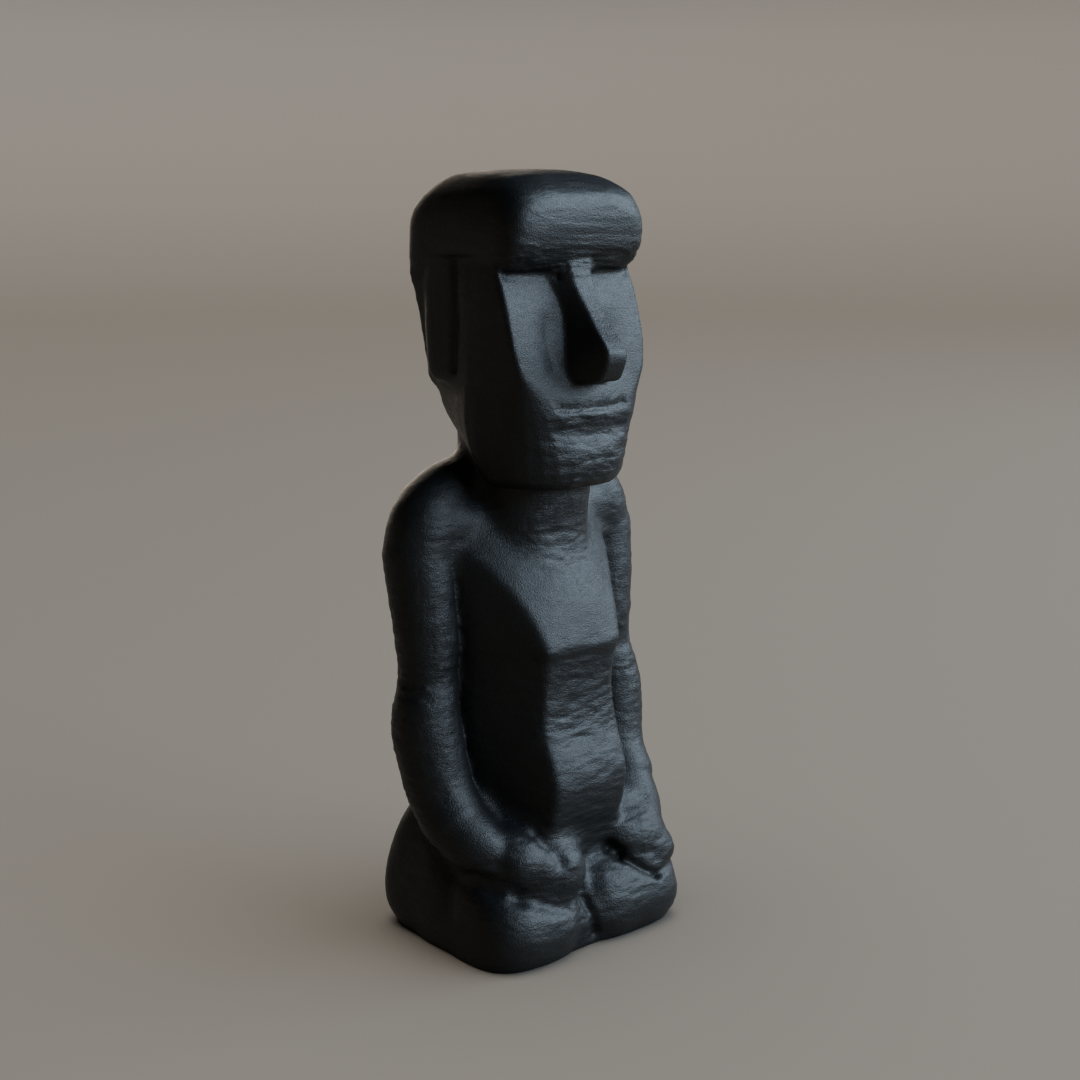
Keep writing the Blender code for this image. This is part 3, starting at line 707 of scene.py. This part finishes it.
def colour_ramp(tree, value, *stops):
    """Turn a value into a colour. Each stop is a position and its colour."""
    ramp = add_node(tree, "ShaderNodeValToRGB", Fac=value)
    for element, (position, colour) in zip(ramp.color_ramp.elements, stops):
        element.position, element.color = position, (*colour, 1)
    return ramp.outputs[0]


def printed_plastic(name, thread, speckle, roughness, depth):
    """A black plastic. Sizes are in mm, and depth is how far the grain stands out."""
    material = bpy.data.materials.new(name)
    material.use_nodes = True
    tree = material.node_tree
    shader = tree.nodes["Principled BSDF"]
    where = tree.nodes.new("ShaderNodeTexCoord").outputs["Object"]
    marks = tree.nodes.new("ShaderNodeGroup")
    marks.node_tree = grain
    marks.inputs["Thread Size"].default_value = [size * MM for size in thread]
    marks.inputs["Speckle Size"].default_value = speckle * MM
    tree.links.new(where, marks.inputs["Vector"])
    threads, dots = marks.outputs["Threads"], marks.outputs["Speckle"]
    ripple = add_node(tree, "ShaderNodeAttribute", {"attribute_name": "ripple"}).outputs["Fac"]
    coarse = calc(tree, "MULTIPLY", threads, ripple)
    height = calc(tree, "ADD", coarse, calc(tree, "MULTIPLY", dots, SPECKLE_SHARE))
    bump = add_node(tree, "ShaderNodeBump", Height=height, Strength=1.0, Distance=depth * MM)
    tree.links.new(bump.outputs[0], shader.inputs["Normal"])
    shader.inputs["Specular IOR Level"].default_value = SHEEN
    tint = colour_ramp(tree, dots, (0.35, (0.005, 0.0055, 0.006)), (0.7, (0.012, 0.0125, 0.0135)))
    tree.links.new(tint, shader.inputs["Base Color"])
    gloss = add_node(tree, "ShaderNodeMapRange", i0=threads, i1=0.3, i2=0.7,
                     i3=roughness - GLOSS_SWING, i4=roughness + GLOSS_SWING)
    tree.links.new(gloss.outputs[0], shader.inputs["Roughness"])
    return material


plastic = printed_plastic("black_plastic", thread=(1.6, 1.6, 0.5), speckle=0.23,
                          roughness=0.45, depth=0.16)
sole_plastic = printed_plastic("black_plastic_underside", thread=(0.45, 30, 30), speckle=0.8,
                               roughness=0.34, depth=0.04)
print("materials:", plastic.name, "and", sole_plastic.name)

# %% [markdown]
# ## The finished statue
# The tree is put on the skin as a modifier. Its inputs are set by each socket's identifier,
# then the result becomes a plain mesh. Last comes the flat cut at ground level. The cut face
# gets the underside's own finish: smooth straight threads, as the first layer has.

# %% Apply the relief
carved = link("carved", skin)
waves = carved.modifiers.new("print_relief", "NODES")
waves.node_group = relief
sizes = {"Ripple Height": 1.1 * MM, "Ripple Pitch": 1.0 * MM, "Ripple Length": 3.8 * MM,
         "Lump Height": 0.5 * MM, "Lump Size": 9.0 * MM, "Seed": 4.0, "Material": plastic}
for socket in relief.interface.items_tree:
    if socket.name in sizes:
        waves[socket.identifier] = sizes[socket.name]
statue_mesh = applied(carved, "moai_figurine")
print("after the relief:", len(statue_mesh.polygons), "faces")


# %% Cut the underside flat and fit the solid's box
SHARP = radians(65)                                 # edges steeper than this are shaded hard


def cut_to_stand(mesh):
    """Cut at the ground, close the cut, centre the mesh and scale it to the solid's height."""
    bm = bmesh.new()
    bm.from_mesh(mesh)
    cut = bmesh.ops.bisect_plane(bm, geom=bm.verts[:] + bm.edges[:] + bm.faces[:], dist=0.01 * MM,
                                 plane_co=(0, 0, 0), plane_no=(0, 0, -1), clear_outer=True)
    rim = [e for e in cut["geom_cut"] if isinstance(e, bmesh.types.BMEdge)]
    for edge in rim:
        for vert in edge.verts:
            vert.co.z = 0.0
    made = bmesh.ops.contextual_create(bm, geom=rim)
    for sole in made["faces"]:
        sole.material_index = 1
    low, high = (Vector(f(v.co[i] for v in bm.verts) for i in range(3)) for f in (min, max))
    middle = (cad_low + cad_high) / 2 - (low + high) / 2
    bmesh.ops.translate(bm, vec=(middle.x, middle.y, 0), verts=bm.verts)
    bmesh.ops.scale(bm, vec=((cad_high.z - cad_low.z) / high.z,) * 3, verts=bm.verts)
    bmesh.ops.triangulate(bm, faces=bm.faces)
    bm.to_mesh(mesh)
    bm.free()


statue_mesh.materials.append(sole_plastic)
cut_to_stand(statue_mesh)
statue_mesh.shade_smooth()
statue_mesh.set_sharp_from_angle(angle=SHARP)
statue = link("moai_figurine", statue_mesh)
print("statue:", len(statue_mesh.polygons), "triangles")

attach(statue, "root")
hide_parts("moai_statue")

# %% [markdown]
# ## Floor
# The floor is a wide bowl with a soft rim, so no edge shows behind the statue. It has to look
# pale, yet a pale floor would throw light back on the black plastic and lift its shade. So its
# own colour is fairly dark, and a strong overhead light of its own makes it pale. The rim
# gets less of that light, so a ramp on the height makes the paint lighter there.

# %% Floor
FLOOR_FLAT, FLOOR_EDGE, FLOOR_RISE = 1.6, 2.4, 0.8  # metres: flat part, outer rim, rim's height
RIM_STEPS, SPOKES = 8, 64
bowl = bmesh.new()
profile = [(FLOOR_FLAT * k / 4, 0.0) for k in range(1, 5)]
profile += [(FLOOR_FLAT + (FLOOR_EDGE - FLOOR_FLAT) * sin(pi / 2 * k / RIM_STEPS),
             FLOOR_RISE * (1 - cos(pi / 2 * k / RIM_STEPS))) for k in range(1, RIM_STEPS + 1)]
rings = [[bowl.verts.new((r * cos(tau * i / SPOKES), r * sin(tau * i / SPOKES), z))
          for i in range(SPOKES)] for r, z in profile]
bowl.faces.new(rings[0])
for inner, outer in zip(rings, rings[1:]):
    for i in range(SPOKES):
        j = (i + 1) % SPOKES
        bowl.faces.new((inner[i], outer[i], outer[j], inner[j]))
floor_mesh = bpy.data.meshes.new("floor")
bowl.to_mesh(floor_mesh)
bowl.free()
floor_mesh.shade_smooth()
floor = link("floor", floor_mesh)
print("floor:", len(floor_mesh.polygons), "faces")

# %% Paper
paper = bpy.data.materials.new("pale_floor")
paper.use_nodes = True
paint = paper.node_tree.nodes["Principled BSDF"]
paint.inputs["Roughness"].default_value = 0.85
paint.inputs["Specular IOR Level"].default_value = 0.1
spot = add_node(paper.node_tree, "ShaderNodeTexCoord").outputs["Object"]
height = add_node(paper.node_tree, "ShaderNodeSeparateXYZ", Vector=spot).outputs["Z"]
shade = colour_ramp(paper.node_tree, height, (0.0, (0.066, 0.059, 0.051)),
                    (0.35, (0.16, 0.145, 0.13)))
paper.node_tree.links.new(shade, paint.inputs["Base Color"])
floor_mesh.materials.append(paper)

# %% [markdown]
# ## Lights
# One wide soft light stands to the figure's left front, like a window. It makes the flat
# planes of the face and chest glow grey, while planes that turn the other way fall into
# shade. A weak warm light from behind keeps the far edges readable. Light linking ties a lamp
# to a single object: the light behind is for the statue alone, so it leaves no edge on the
# floor, and the overhead one is for the floor alone.

# %% Lights
AIM_HEIGHT = 0.06                                   # metres: the lamps aim at the statue's middle


def soft_light(name, azimuth, elevation, away, size, watts, colour):
    """A flat lamp. Its azimuth runs from the front (0) towards the figure's left (90)."""
    lamp = bpy.data.lights.new(name, "AREA")
    lamp.shape, lamp.energy, lamp.color = "RECTANGLE", watts, colour
    lamp.size, lamp.size_y = size
    holder = bpy.data.objects.new(name, lamp)
    turn, rise = radians(azimuth), radians(elevation)
    towards = Vector((sin(turn) * cos(rise), -cos(turn) * cos(rise), sin(rise)))
    holder.location = towards * away + Vector((0, 0, AIM_HEIGHT))
    holder.rotation_euler = (-towards).to_track_quat("-Z", "Y").to_euler()
    bpy.context.collection.objects.link(holder)
    return holder


def light_only(holder, piece):
    """Let a lamp light one object and leave the rest alone."""
    holder.light_linking.receiver_collection = bpy.data.collections.new(piece.name + "_only")
    holder.light_linking.receiver_collection.objects.link(piece)


soft_light("window", azimuth=45, elevation=28, away=1.0, size=(1.45, 0.7), watts=37.0,
           colour=(0.68, 0.84, 1.0))
behind = soft_light("behind", azimuth=155, elevation=12, away=1.0, size=(0.6, 0.5), watts=3.0,
                    colour=(1.0, 0.86, 0.7))
light_only(behind, statue)
overhead = bpy.data.lights.new("overhead", "SUN")
overhead.energy, overhead.angle, overhead.color = 9.6, radians(60), (1.0, 0.97, 0.92)
overhead_holder = bpy.data.objects.new("overhead", overhead)
bpy.context.collection.objects.link(overhead_holder)
light_only(overhead_holder, floor)
print("lamps:", len(bpy.data.lights))

# %% Room
sky = bpy.data.worlds.new("room")
sky.use_nodes = True
backdrop = sky.node_tree.nodes["Background"]
backdrop.inputs["Color"].default_value = (0.3, 0.29, 0.27, 1)
backdrop.inputs["Strength"].default_value = 0.05
bpy.context.scene.world = sky
